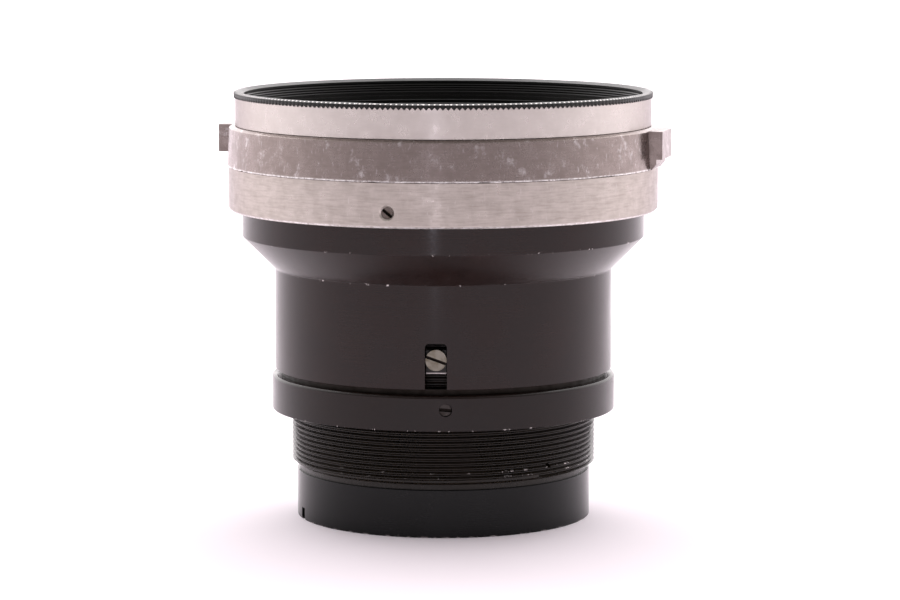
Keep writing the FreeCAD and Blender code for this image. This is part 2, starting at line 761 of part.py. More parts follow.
def cam_slot():
    """An arc slot through the drive pin's first, middle and last places in the rotor."""
    full_turn = DIMENSIONS["iris_turn"]
    first, middle, last = [drive_pin_place(turn) for turn in (0.0, full_turn / 2, full_turn)]
    centre = Part.Arc(first, middle, last).toShape().Curve.Center
    half_width = DIMENSIONS["blade_pin_radius"] + DIMENSIONS["blade_pin_gap"]

    def shifted(point, distance):
        outwards = (point - centre).normalize()
        return point + outwards * distance

    def past_end(point, towards):
        along = (point - towards)
        radial = (point - centre).normalize()
        along = along - radial * along.dot(radial)
        return point + along.normalize() * half_width

    edges = [
        Part.Arc(shifted(first, half_width), shifted(middle, half_width), shifted(last, half_width)),
        Part.Arc(shifted(last, half_width), past_end(last, middle), shifted(last, -half_width)),
        Part.Arc(shifted(last, -half_width), shifted(middle, -half_width), shifted(first, -half_width)),
        Part.Arc(shifted(first, -half_width), past_end(first, middle), shifted(first, half_width)),
    ]
    face = Part.Face(Part.Wire([edge.toShape() for edge in edges]))
    height = DIMENSIONS["rotor_top"] - DIMENSIONS["rotor_bottom"]
    slot = face.extrude(FreeCAD.Vector(0, 0, height + 2 * CUT_MARGIN))
    slot.translate(FreeCAD.Vector(0, 0, DIMENSIONS["rotor_bottom"] - CUT_MARGIN))
    return slot


def iris_rotor():
    """The cam ring: one arc slot for each blade's drive pin, and a hole for the drive screw."""
    blank = ring("iris_rotor_blank", size("rotor_radius"), size("rotor_bore_radius"), size("rotor_bottom"),
                 size("rotor_top"))
    slot = cam_slot()
    copies = []
    for index in range(BLADE_COUNT):
        copy = slot.copy()
        copy.rotate(FreeCAD.Vector(), Z_AXIS, index * 360.0 / BLADE_COUNT)
        copies.append(copy)
    slots = doc.addObject("Part::Feature", "cam_slots")
    slots.Shape = Part.makeCompound(copies)
    drill = new("Part::Cylinder", "rotor_drill", Radius=size("drive_screw_radius"),
                Height=size("rotor_radius") * 2 - size("drive_screw_inner"))
    drill.Placement = drive_placement(DIMENSIONS["drive_screw_inner"])
    keep(cut("iris_rotor", blank, fuse("rotor_tools", [slots, drill])), "iris_rotor")


def iris_blade(index):
    """A crescent blade at its own level, with its pivot pin below and its drive pin above."""
    name = "iris_blade_%02d" % (index + 1)
    bottom = size("blade_level") + size("blade_level_step") * index
    top = bottom + size("blade_thickness")
    inner = size("blade_inner_radius")
    outer = size("blade_outer_radius")
    middle = (inner + outer) / 2
    half_width = (outer - inner) / 2
    ear = size("blade_ear_radius")
    pivot = polar(DIMENSIONS["blade_pivot_radius"], 0.0)
    drive = polar(DIMENSIONS["blade_pivot_radius"], blade_arm_angle())
    tip = polar(number_of(middle), DIMENSIONS["blade_span"])
    crescent = cylinder(name + "_crescent", outer, bottom, top, angle=size("blade_span"))
    ear_reach = size("blade_pivot_radius") + ear
    ear_sector = cylinder(name + "_ear", ear_reach, bottom, top, angle=blade_arm_angle())
    bore = cylinder(name + "_bore", inner, bottom, top)
    plate = cut(name + "_plate", fuse(name + "_sectors", [crescent, ear_sector]), bore)
    rounds = [
        cylinder(name + "_heel", half_width, bottom, top, x=number_of(middle)),
        cylinder(name + "_tip", half_width, bottom, top, x=tip.x, y=tip.y),
        cylinder(name + "_pivot_ear", ear, bottom, top, x=pivot.x, y=pivot.y),
        cylinder(name + "_drive_ear", ear, bottom, top, x=drive.x, y=drive.y),
        cylinder(name + "_pivot_pin", size("blade_pin_radius"), size("blade_pin_bottom"), top,
                 x=pivot.x, y=pivot.y),
        cylinder(name + "_drive_pin", size("blade_pin_radius"), bottom, size("blade_pin_top"),
                 x=drive.x, y=drive.y),
    ]
    blade = fuse(name, [plate] + rounds)
    turn = FreeCAD.Rotation(Z_AXIS, index * 360.0 / BLADE_COUNT)
    blade.Placement = FreeCAD.Placement(FreeCAD.Vector(), turn)
    keep(blade, name)


# ---------------------------------------------------------------- build and write

def check_and_write():
    """Stops at the first failed object, then writes one STEP file for each sub-part."""
    doc.recompute()
    for item in doc.Objects:
        if "Invalid" in item.State or "Error" in item.State:
            raise RuntimeError("%s is in state %s" % (item.Name, item.State))
    os.makedirs("parts", exist_ok=True)
    for item in sub_parts:
        shape = item.Shape
        if shape.isNull() or not shape.isValid():
            raise RuntimeError("%s has no valid shape" % item.Label)
        if len(shape.Solids) != 1:
            raise RuntimeError("%s has %d solids" % (item.Label, len(shape.Solids)))
        shape.exportStep("parts/%s.step" % item.Label)
        box = shape.BoundBox
        print("%-20s %10.1f mm3  z %6.2f to %6.2f" % (item.Label, shape.Volume, box.ZMin, box.ZMax))


threaded_tube()
rear_ring()
key_block()
key_screw()
rear_glass()
register_ring()
thrust_washer()
barrel_sleeve()
head_tube()
lower_band()
upper_ring()
front_bezel()
front_cell()
front_glass()
aperture_ring()
iris_drive_screw()
iris_housing()
iris_rotor()
for blade_index in range(BLADE_COUNT):
    iris_blade(blade_index)
check_and_write()
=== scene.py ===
import math
import random

import bmesh
import bpy
from mathutils import Matrix, Vector


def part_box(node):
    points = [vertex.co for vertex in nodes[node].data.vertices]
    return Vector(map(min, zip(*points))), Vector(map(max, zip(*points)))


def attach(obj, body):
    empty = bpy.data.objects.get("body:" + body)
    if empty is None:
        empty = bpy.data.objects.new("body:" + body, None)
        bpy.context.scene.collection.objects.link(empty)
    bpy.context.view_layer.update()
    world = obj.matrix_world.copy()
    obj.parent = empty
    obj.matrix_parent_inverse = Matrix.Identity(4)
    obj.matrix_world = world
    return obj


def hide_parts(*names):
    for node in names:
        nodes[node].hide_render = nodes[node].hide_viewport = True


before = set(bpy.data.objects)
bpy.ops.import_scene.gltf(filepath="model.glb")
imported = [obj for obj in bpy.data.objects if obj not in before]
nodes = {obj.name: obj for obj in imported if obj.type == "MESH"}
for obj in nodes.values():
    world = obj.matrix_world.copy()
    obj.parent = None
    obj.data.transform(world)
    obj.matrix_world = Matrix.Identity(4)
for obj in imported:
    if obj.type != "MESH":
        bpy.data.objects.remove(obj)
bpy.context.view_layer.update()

# Lengths are in metres, and those of the object are written as so many MM. Azimuths, tilts and edge
# angles are in degrees.
MM = 0.001

# ---------------------------------------------------------------- sizes, from the frame

def radius_of(node):
    """Outer radius of a turned CAD node."""
    low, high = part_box(node)
    return (high.y - low.y) / 2


def bottom_of(node):
    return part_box(node)[0].z


def top_of(node):
    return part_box(node)[1].z


THREAD_RADIUS = radius_of("threaded_tube")
THREAD_PITCH = 1.0 * MM
THREAD_DEPTH = 0.58 * MM
THREAD_BOTTOM = 11.2 * MM
# Corners of the thread's form, from one crest to the next: share of the pitch, depth below the crest.
THREAD_FORM = ((0.0, 0.0), (0.14, 0.0), (0.50, THREAD_DEPTH), (0.64, THREAD_DEPTH))
UNDERCUT_RADIUS = 29.5 * MM
TUBE_BORE = 27.5 * MM
TUBE_LIP_BORE = 25.5 * MM
TUBE_LIP_HEIGHT = 1.5 * MM
TUBE_UPPER_BORE = 28.6 * MM
FOOT_BORE = 24.5 * MM
FOOT_CHAMFER = 1.0 * MM
NOTCH_AZIMUTHS = (-72.0, 108.0)
FOOT_RADIUS = radius_of("rear_ring")
FOOT_SHOULDER = bottom_of("threaded_tube")
SLEEVE_RADIUS = 34.4 * MM
CONE_BOTTOM = 50.85 * MM
CONE_TOP = 57.5 * MM
FLANGE_RADIUS = radius_of("head_tube")
SLEEVE_CHAMBER_RADIUS = 38.5 * MM
SLEEVE_CHAMBER_BOTTOM = 56.0 * MM
SLEEVE_BORE_TOP = 48.0 * MM
RUNNING_GAP = 0.06 * MM
KEY_AZIMUTH = -2.35
KEY_SLOT_WIDTH = 4.35 * MM
KEY_SLOT_TOP = 39.5 * MM
KEY_SLOT_CORNER = 0.9 * MM
BAND_LOWER_RADIUS = 44.0 * MM
BAND_SHOULDER_RADIUS = 43.6 * MM
BAND_SHOULDER = 79.55 * MM
BAND_TOP_RADIUS = 42.8 * MM
UPPER_RING_BORE = 41.42 * MM
UPPER_WEB_BORE = 38.52 * MM
UPPER_WEB_TOP = 81.5 * MM
FILTER_RADIUS = 40.6 * MM
FILTER_PITCH = 0.5 * MM
FILTER_BOTTOM = 83.4 * MM
LIP_RADIUS = 41.5 * MM
BEZEL_SKIRT_RADIUS = 41.38 * MM
BEZEL_SHOULDER_RADIUS = 38.6 * MM
RIM_TEETH = 250


def place_of(node):
    """Azimuth in degrees (0 is -Y, positive turns towards +X) and height of a small CAD node."""
    corners = nodes[node].data.vertices
    middle = sum((corner.co for corner in corners), Vector()) / len(corners)
    return math.degrees(math.atan2(middle.x, -middle.y)), middle.z


# ---------------------------------------------------------------- mesh helpers

def add_mesh(name, vertices, faces):
    mesh = bpy.data.meshes.new(name)
    mesh.from_pydata([tuple(v) for v in vertices], [], faces)
    mesh.validate()
    piece = bpy.data.objects.new(name, mesh)
    bpy.context.scene.collection.objects.link(piece)
    return piece


def soften(outline, radius, steps=3):
    """Rounds every corner of a closed (radius, height) outline."""
    rounded = []
    count = len(outline)
    for index, point in enumerate(outline):
        corner = Vector(point)
        before = Vector(outline[index - 1])
        after = Vector(outline[(index + 1) % count])
        reach = min(radius, 0.4 * (before - corner).length, 0.4 * (after - corner).length)
        start = corner + (before - corner).normalized() * reach
        end = corner + (after - corner).normalized() * reach
        for step in range(steps + 1):
            blend = step / steps
            one = start.lerp(corner, blend)
            two = corner.lerp(end, blend)
            rounded.append(tuple(one.lerp(two, blend)))
    return rounded


def lathe(name, outline, segments=360, shape=None):
    """Spins a closed outline about Z. shape(angle, radius, height) may move each point a little."""
    vertices = []
    for step in range(segments):
        angle = 2 * math.pi * step / segments
        for radius, height in outline:
            if shape:
                radius, height = shape(angle, radius, height)
            vertices.append((radius * math.cos(angle), radius * math.sin(angle), height))
    count = len(outline)
    faces = []
    for step in range(segments):
        following = (step + 1) % segments
        for row in range(count):
            above = (row + 1) % count
            faces.append((step * count + row, following * count + row,
                          following * count + above, step * count + above))
    return add_mesh(name, vertices, faces)


def tooth_at(angle, teeth):
    """1 on the tips of V teeth that run round the part, 0 in the grooves between them."""
    phase = (angle * teeth / (2 * math.pi)) % 1.0
    return 1.0 - abs(2.0 * phase - 1.0)


def finish_mesh(piece, sharp_degrees=40.0):
    """Smooth shading that keeps flat faces flat beside their rounded edges."""
    piece.data.shade_smooth()
    piece.data.set_sharp_from_angle(angle=math.radians(sharp_degrees))
    normals = piece.modifiers.new("flat_faces", "WEIGHTED_NORMAL")
    normals.keep_sharp = True
    normals.weight = 80
    return piece


def apply_modifiers(piece):
    """Bakes the piece's modifiers into its mesh."""
    depsgraph = bpy.context.evaluated_depsgraph_get()
    mesh = bpy.data.meshes.new_from_object(piece.evaluated_get(depsgraph))
    piece.modifiers.clear()
    piece.data = mesh
    return piece


def clean(piece):
    """Merges the points that coincide where rows are clamped, and drops empty faces."""
    work = bmesh.new()
    work.from_mesh(piece.data)
    bmesh.ops.remove_doubles(work, verts=work.verts, dist=0.0005 * MM)
    bmesh.ops.dissolve_degenerate(work, edges=work.edges, dist=0.0005 * MM)
    work.to_mesh(piece.data)
    work.free()


def carve(piece, *cutters):
    """Cuts tool solids out of a piece and removes the tools."""
    for cutter in cutters:
        boolean = piece.modifiers.new("carve", "BOOLEAN")
        boolean.operation = "DIFFERENCE"
        boolean.solver = "EXACT"
        boolean.object = cutter
    apply_modifiers(piece)
    for cutter in cutters:
        bpy.data.objects.remove(cutter)
    return piece


def radial_matrix(azimuth, height, roll=0.0):
    """Local Z points outwards along an azimuth, local X runs round and local Y runs up."""
    turn = Matrix.Rotation(math.radians(azimuth), 4, "Z") @ Matrix.Rotation(math.radians(90), 4, "X")
    return Matrix.Translation((0, 0, height)) @ turn @ Matrix.Rotation(math.radians(roll), 4, "Z")


def tool_box(low, high, matrix):
    """A cutter box between two corners of a local frame."""
    corners = [(x, y, z) for x in (low[0], high[0]) for y in (low[1], high[1]) for z in (low[2], high[2])]
    faces = [(0, 1, 3, 2), (4, 6, 7, 5), (0, 4, 5, 1), (2, 3, 7, 6), (0, 2, 6, 4), (1, 5, 7, 3)]
    return add_mesh("tool", [matrix @ Vector(corner) for corner in corners], faces)


def tool_prism(outline, near, far, matrix):
    """A cutter with a flat outline in local X and Y, from near to far along local Z."""
    count = len(outline)
    vertices = [matrix @ Vector((x, y, z)) for z in (near, far) for x, y in outline]
    faces = [tuple(reversed(range(count))), tuple(range(count, 2 * count))]
    for index in range(count):
        following = (index + 1) % count
        faces.append((index, following, following + count, index + count))
    return add_mesh("tool", vertices, faces)


def tool_rod(profile, matrix, sides=48):
    """A cutter turned about a local Z axis from (radius, distance) points."""
    vertices = []
    for radius, distance in profile:
        for side in range(sides):
            angle = 2 * math.pi * side / sides
            vertices.append(matrix @ Vector((radius * math.cos(angle), radius * math.sin(angle), distance)))
    faces = [tuple(reversed(range(sides))), tuple(range(len(vertices) - sides, len(vertices)))]
    for ring in range(len(profile) - 1):
        for side in range(sides):
            following = (side + 1) % sides
            faces.append((ring * sides + side, ring * sides + following,
                          (ring + 1) * sides + following, (ring + 1) * sides + side))
    return add_mesh("tool", vertices, faces)


def softened_copy(name, node, width):
    """A copy of a CAD node with its edges broken, to stand for that node."""
    piece = bpy.data.objects.new(name, nodes[node].data.copy())
    bpy.context.scene.collection.objects.link(piece)
    work = bmesh.new()
    work.from_mesh(piece.data)
    bmesh.ops.remove_doubles(work, verts=work.verts, dist=0.002 * MM)
    bmesh.ops.dissolve_limit(work, angle_limit=math.radians(1.0), verts=work.verts, edges=work.edges)
    work.to_mesh(piece.data)
    work.free()
    piece.data.materials.clear()
    bevel = piece.modifiers.new("broken_edges", "BEVEL")
    bevel.width = width
    bevel.segments = 3
    bevel.limit_method = "ANGLE"
    bevel.angle_limit = math.radians(35)
    return finish_mesh(piece)


def stand_in(piece, node, body, material):
    """The piece rides on a body in place of a CAD node, with one material."""
    piece.data.materials.clear()
    piece.data.materials.append(material)
    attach(piece, body)
    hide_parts(node)
    return piece


def dress(node, material):
    """Gives a CAD node that stays as it is a better material."""
    mesh = nodes[node].data
    for index in range(len(mesh.materials)):
        mesh.materials[index] = material


# ---------------------------------------------------------------- material helpers

class Graph:
    """A material's node tree with short calls for the nodes used here. Lengths inside are in mm."""

    def __init__(self, name):
        self.material = bpy.data.materials.new(name)
        self.material.use_nodes = True
        self.tree = self.material.node_tree
        self.tree.nodes.clear()
        self.output = self.node("OutputMaterial")
        place = self.node("TexCoord").outputs["Object"]
        self.place = self.vector("MULTIPLY", place, (1000.0, 1000.0, 1000.0))
        self.axes = self.node("SeparateXYZ", {"Vector": self.place}).outputs

    def node(self, kind, inputs=None, **settings):
        made = self.tree.nodes.new("ShaderNode" + kind)
        for key, value in settings.items():
            setattr(made, key, value)
        for key, value in (inputs or {}).items():
            self.feed(made.inputs[key], value)
        return made

    def feed(self, socket, value):
        if isinstance(value, bpy.types.NodeSocket):
            self.tree.links.new(value, socket)
        elif isinstance(value, tuple) and len(value) == 3 and socket.type == "RGBA":
            socket.default_value = value + (1.0,)
        else:
            socket.default_value = value

    def math(self, operation, one, two=0.0, clamp=False):
        made = self.node("Math", {0: one, 1: two}, operation=operation, use_clamp=clamp)
        return made.outputs[0]

    def vector(self, operation, one, two):
        return self.node("VectorMath", {0: one, 1: two}, operation=operation).outputs[0]

    def noise(self, stretch, size, detail=3.0, rough=0.5):
        """Noise with features about `size` mm, its space scaled by `stretch` first."""
        space = self.vector("MULTIPLY", self.place, stretch)
        made = self.node("TexNoise", {"Vector": space, "Scale": 1.0 / size, "Detail": detail,
                                      "Roughness": rough})
        return made.outputs["Fac"]

    def step(self, value, low, high, out_low=0.0, out_high=1.0):
        """Smooth rise from out_low to out_high as the value goes from low to high."""
        made = self.node("MapRange", {"Value": value, "From Min": low, "From Max": high,
                                      "To Min": out_low, "To Max": out_high}, interpolation_type="SMOOTHSTEP")
        return made.outputs[0]

    def blend(self, factor, one, two):
        made = self.node("Mix", {"Factor": factor}, data_type="RGBA")
        self.feed(made.inputs[6], one)
        self.feed(made.inputs[7], two)
        return made.outputs[2]

    def radius(self):
        across = self.math("MULTIPLY", self.axes[0], self.axes[0])
        along = self.math("MULTIPLY", self.axes[1], self.axes[1])
        return self.math("SQRT", self.math("ADD", across, along))

    def near_edges(self, edges, width):
        """1 on the given (radius, height) circles, fading to 0 at `width` mm from them."""
        radius = self.radius()
        nearest = None
        for edge_radius, edge_height in edges:
            across = self.math("SUBTRACT", radius, edge_radius / MM)
            along = self.math("SUBTRACT", self.axes[2], edge_height / MM)
            square = self.math("ADD", self.math("MULTIPLY", across, across),
                               self.math("MULTIPLY", along, along))
            nearest = square if nearest is None else self.math("MINIMUM", nearest, square)
        distance = self.math("SQRT", nearest)
        return self.step(distance, 0.0, width, 1.0, 0.0)

    def grooves(self, teeth):
        """1 in the grooves between teeth that run round the Z axis, fading to 0 on the teeth."""
        angle = self.math("ARCTAN2", self.axes[1], self.axes[0])
        phase = self.math("FRACT", self.math("MULTIPLY", angle, teeth / (2 * math.pi)))
        centred = self.math("SUBTRACT", self.math("MULTIPLY", phase, 2.0), 1.0)
        return self.step(self.math("ABSOLUTE", centred), 0.55, 0.85)

    def surface(self, height=None, depth=0.0, **inputs):
        """Principled surface; height, from 0 to 1, is embossed by `depth` mm."""
        shader = self.node("BsdfPrincipled")
        for key, value in inputs.items():
            self.feed(shader.inputs[key.replace("_", " ")], value)
        if height is not None:
            bump = self.node("Bump", {"Height": height, "Distance": depth * MM, "Strength": 1.0})
            self.tree.links.new(bump.outputs["Normal"], shader.inputs["Normal"])
        self.tree.links.new(shader.outputs["BSDF"], self.output.inputs["Surface"])
        return shader


BARE_METAL = (0.62, 0.58, 0.57)


def anodised(name, colour, edges=(), wear=0.62, roughness=0.38, tool_marks=0.004, specular=0.3, grain=6.0,
             teeth=0):
    """Black anodising on turned aluminium: faint turning lines, worn to metal in chips on its edges, and
    bare metal painted in the grooves between any teeth near those edges, a painted highlight for the glints
    there."""
    graph = Graph(name)
    turning = graph.noise((0.03, 0.03, grain), 1.0, detail=4.0)
    cloud = graph.noise((1.0, 1.0, 1.0), 9.0, detail=4.0)
    speck = graph.noise((1.0, 1.0, 1.0), 0.5, detail=2.0)
    shade = graph.math("ADD", graph.step(cloud, 0.3, 0.7, 0.82, 1.15),
                       graph.step(turning, 0.3, 0.7, -0.12, 0.12))
    paint = graph.vector("SCALE", colour, (0.0, 0.0, 0.0))
    scale = paint.node
    graph.tree.links.new(shade, scale.inputs["Scale"])
    base = paint
    metal = 0.0
    if edges:
        close = graph.near_edges(edges, 0.35)
        chips = graph.noise((1.0, 1.0, 0.6), 1.6, detail=5.0, rough=0.7)
        # Chips of bare metal on the given edges: wear, and where an edge is chosen because it catches light,
        # also a painted highlight.
        wear_and_glints = graph.math("MULTIPLY", close, graph.step(chips, wear - 0.02, wear + 0.03))
        # Painted highlight: near the edges every groove between the teeth is bare metal, standing in for the
        # glints there.
        if teeth:
            wear_and_glints = graph.math("MAXIMUM", wear_and_glints, graph.math("MULTIPLY", close, graph.grooves(teeth)))
        base = graph.blend(wear_and_glints, paint, BARE_METAL)
        metal = wear_and_glints
    rough = graph.math("ADD", graph.step(cloud, 0.3, 0.7, -0.04, 0.05),
                       graph.step(speck, 0.3, 0.7, -0.03, 0.03))
    rough = graph.math("ADD", rough, roughness)
    height = graph.math("ADD", turning, graph.math("MULTIPLY", speck, 0.3)) if tool_marks else None
    graph.surface(height, tool_marks, Base_Color=base, Metallic=metal, Roughness=rough,
                  Specular_IOR_Level=specular)
    return graph.material


def aluminium(name, light, dark, roughness, blotches, marks, mark_depth, edges=(), smudges=0.0, grazing=0.72):
    """Bare turned aluminium: lines round the part, cloudy oxide, pale smudges, and edges painted bright:
    rubbed metal and a painted highlight line along them.
    """
    graph = Graph(name)
    turning = graph.noise((0.02, 0.02, 5.0), 1.0, detail=5.0, rough=0.6)
    chatter = graph.noise((0.25, 0.25, 2.6), 1.0, detail=4.0, rough=0.65)
    cloud = graph.noise((1.0, 1.0, 1.0), 2.6, detail=6.0, rough=0.66)
    speckle = graph.noise((1.0, 1.0, 1.0), 0.9, detail=4.0, rough=0.7)
    tone = graph.math("ADD", graph.step(cloud, 0.35, 0.65, -0.5, 0.5), 0.5)
    tone = graph.math("MULTIPLY", tone, blotches)
    tone = graph.math("ADD", tone, graph.math("MULTIPLY", graph.step(chatter, 0.35, 0.7), marks))
    scuff = graph.noise((2.2, 2.2, 0.55), 1.0, detail=4.0, rough=0.7)
    pits = graph.step(speckle, 0.68, 0.76)
    base = graph.blend(graph.math("MULTIPLY", tone, 1.0, clamp=True), light, dark)
    base = graph.blend(graph.math("MULTIPLY", pits, 0.30), base, dark)
    base = graph.blend(graph.step(scuff, 0.60, 0.74, 0.0, blotches), base, (0.80, 0.77, 0.79))
    if smudges:
        smear = graph.noise((1.0, 1.0, 0.7), 3.4, detail=5.0, rough=0.75)
        base = graph.blend(graph.step(smear, 0.54, 0.70, 0.0, smudges), base, (0.78, 0.75, 0.76))
    if edges:
        # Near-white band along the given edges: partly rubbed metal, partly a painted highlight where the
        # edge catches light.
        rubbed_and_highlit = graph.math("MULTIPLY", graph.near_edges(edges, 0.42),
                            graph.step(speckle, 0.38, 0.58, 0.30, 1.0))
        base = graph.blend(rubbed_and_highlit, base, (0.95, 0.93, 0.92))
    rough = graph.math("ADD", graph.step(cloud, 0.3, 0.7, -0.05, 0.06), roughness)
    height = graph.math("ADD", graph.math("MULTIPLY", turning, 0.5),
                        graph.math("MULTIPLY", chatter, marks * 2.0))
    shader = graph.surface(height, mark_depth, Base_Color=base, Metallic=1.0, Roughness=rough,
                           Anisotropic=0.55, Anisotropic_Rotation=0.25,
                           Specular_Tint=(grazing, grazing - 0.02, grazing - 0.01))
    tangent = graph.node("Tangent", direction_type="RADIAL", axis="Z")
    graph.tree.links.new(tangent.outputs[0], shader.inputs["Tangent"])
    return graph.material


def steel(name, colour, roughness, stain=0.5, slot_shade_below=None):
    """Plain or blued steel with fine brushing and tarnish, and painted shade (near black) inside a given
    radius, where a slot lies in shade.
    """
    graph = Graph(name)
    brushing = graph.noise((6.0, 0.5, 6.0), 1.0, detail=3.0)
    cloud = graph.noise((1.0, 1.0, 1.0), 1.4, detail=4.0)
    tarnish = tuple(channel * shift for channel, shift in zip(colour, (0.62, 0.55, 0.42)))
    base = graph.blend(graph.step(cloud, 0.45, 0.75, 0.0, stain), colour, tarnish)
    if slot_shade_below:
        # Painted shade: the steel turns near black inside the given radius, standing in for the shade deep in
        # a slot or hole.
        painted_slot_shade = graph.step(graph.radius(), slot_shade_below / MM - 0.12, slot_shade_below / MM + 0.04, 1.0, 0.0)
        base = graph.blend(painted_slot_shade, base, (0.010, 0.008, 0.007))
    rough = graph.math("ADD", graph.step(cloud, 0.3, 0.7, -0.06, 0.08), roughness)
    graph.surface(brushing, 0.003, Base_Color=base, Metallic=1.0, Roughness=rough)
    return graph.material


def coated_glass(name, coating):
    """Optical glass with a faint coloured coating and a little dust."""
    graph = Graph(name)
    dust = graph.noise((1.0, 1.0, 1.0), 0.8, detail=6.0, rough=0.7)
    rough = graph.step(dust, 0.66, 0.80, 0.0, 0.06)
    graph.surface(Base_Color=(0.99, 0.99, 1.0), Metallic=0.0, Roughness=rough, IOR=1.5,
                  Specular_IOR_Level=0.10, Transmission_Weight=1.0, Specular_Tint=coating)
    return graph.material


def ragged(seed, count):
    """Smooth random values from -1 to 1 round the part, the same each run."""
    values = [random.Random(seed * 1000 + index).uniform(-1.0, 1.0) for index in range(count)]

    def at(angle):
        place = (angle / (2 * math.pi)) % 1.0 * count
        index = int(place)
        part = place - index
        part = part * part * (3.0 - 2.0 * part)
        return values[index % count] * (1.0 - part) + values[(index + 1) % count] * part

    return at


# ---------------------------------------------------------------- materials

# Bare-metal chips along the serrated rear edge: partly wear, partly painted highlights for the glints on the
# serration.
FOOT_BLACK = anodised("foot_black", (0.0050, 0.0054, 0.0056), roughness=0.16, specular=0.20,
                      edges=[(FOOT_RADIUS, 0.0)], wear=0.55)
LOW_CRESTS = [(THREAD_RADIUS, THREAD_BOTTOM + THREAD_PITCH * turn) for turn in (0.05, 1.05, 2.05)]
THREAD_BLACK = anodised("thread_black", (0.0100, 0.0070, 0.0040), roughness=0.30, tool_marks=0.0, grain=0.5,
                        edges=LOW_CRESTS, wear=0.60)
NUT_BLACK = anodised("nut_black", (0.0090, 0.0044, 0.0032), roughness=0.19, specular=0.25,
                     edges=[(radius_of("register_ring"), bottom_of("register_ring")),
                            (radius_of("register_ring"), top_of("register_ring"))], wear=0.615)
SLEEVE_BLACK = anodised("sleeve_black", (0.0128, 0.0056, 0.0044), roughness=0.18, specular=0.27,
                        edges=[(SLEEVE_RADIUS, CONE_BOTTOM), (FLANGE_RADIUS, CONE_TOP)], wear=0.62)
# Painted highlight: the grooves between the rim's teeth are bare metal at its top edge, for the glints there;
# the top edge also has chips of wear.
BEZEL_BLACK = anodised("bezel_black", (0.0060, 0.0058, 0.0050), roughness=0.34, specular=0.35, wear=0.60,
                       edges=[(radius_of("front_bezel") - 0.38 * MM, top_of("front_bezel") - 0.04 * MM)],
                       teeth=RIM_TEETH)
INNER_BLACK = anodised("inner_black", (0.0030, 0.0032, 0.0028), roughness=0.62, specular=0.15)
UPPER_METAL = aluminium("upper_metal", (0.59, 0.55, 0.52), (0.47, 0.43, 0.40), 0.30, blotches=0.20,
                        marks=0.12, mark_depth=0.004, grazing=0.58)
# The near-white line along the lower edge is partly burr and partly a painted highlight.
MIDDLE_METAL = aluminium("middle_metal", (0.295, 0.25, 0.235), (0.195, 0.16, 0.145), 0.28, blotches=0.45,
                         marks=0.22, mark_depth=0.010, smudges=0.50, grazing=0.95,
                         edges=[(radius_of("aperture_ring"), bottom_of("aperture_ring"))])
LOWER_METAL = aluminium("lower_metal", (0.51, 0.465, 0.43), (0.35, 0.31, 0.28), 0.32, blotches=0.30,
                        marks=0.50, mark_depth=0.014,
                        edges=[(radius_of("lower_band") - 0.25 * MM, bottom_of("lower_band") + 0.25 * MM)])
# Inside their slots and holes the key screw, grub screws and set screw are painted near black: painted shade.
KEY_STEEL = steel("key_steel", (0.205, 0.19, 0.16), 0.36, stain=0.9, slot_shade_below=33.5 * MM)
GRUB_STEEL = steel("grub_steel", (0.13, 0.11, 0.10), 0.34, stain=0.9, slot_shade_below=43.15 * MM)
SCREW_STEEL = steel("screw_steel", (0.30, 0.27, 0.23), 0.36, stain=0.8)
DARK_STEEL = steel("dark_steel", (0.045, 0.040, 0.038), 0.34, stain=0.6, slot_shade_below=34.45 * MM)
# Painted highlight: with wear this low, nearly all of the key's lower edge is bare metal, a bright line
# standing in for the glint on that edge.
KEY_BLACK = anodised("key_black", (0.010, 0.008, 0.006), roughness=0.35, wear=0.30,
                     edges=[(THREAD_RADIUS + 1.5 * MM, bottom_of("key_block"))])
BLADE_STEEL = steel("blade_steel", (0.035, 0.036, 0.042), 0.42, stain=0.3)
WASHER_METAL = steel("washer_metal", (0.020, 0.017, 0.015), 0.45, stain=0.4)
FRONT_GLASS = coated_glass("front_glass", (0.72, 0.80, 1.0))
REAR_GLASS = coated_glass("rear_glass", (0.95, 0.84, 1.0))


# ---------------------------------------------------------------- rear barrel

def thread_column(angle):
    """Outer (radius, height) points of the screw thread at one angle, clamped to its ends."""
    low, high = THREAD_BOTTOM, top_of("threaded_tube") - THREAD_DEPTH
    lead = THREAD_PITCH * angle / (2 * math.pi)
    turns = round((high - low) / THREAD_PITCH)
    root = THREAD_RADIUS - THREAD_DEPTH
    points = []
    for turn in range(-1, turns + 1):
        for share, depth in THREAD_FORM:
            height = low + THREAD_PITCH * (turn + share) + lead
            if low < height < high:
                points.append((THREAD_RADIUS - depth, height))
            else:
                points.append((root, min(max(height, low), high)))
    return points


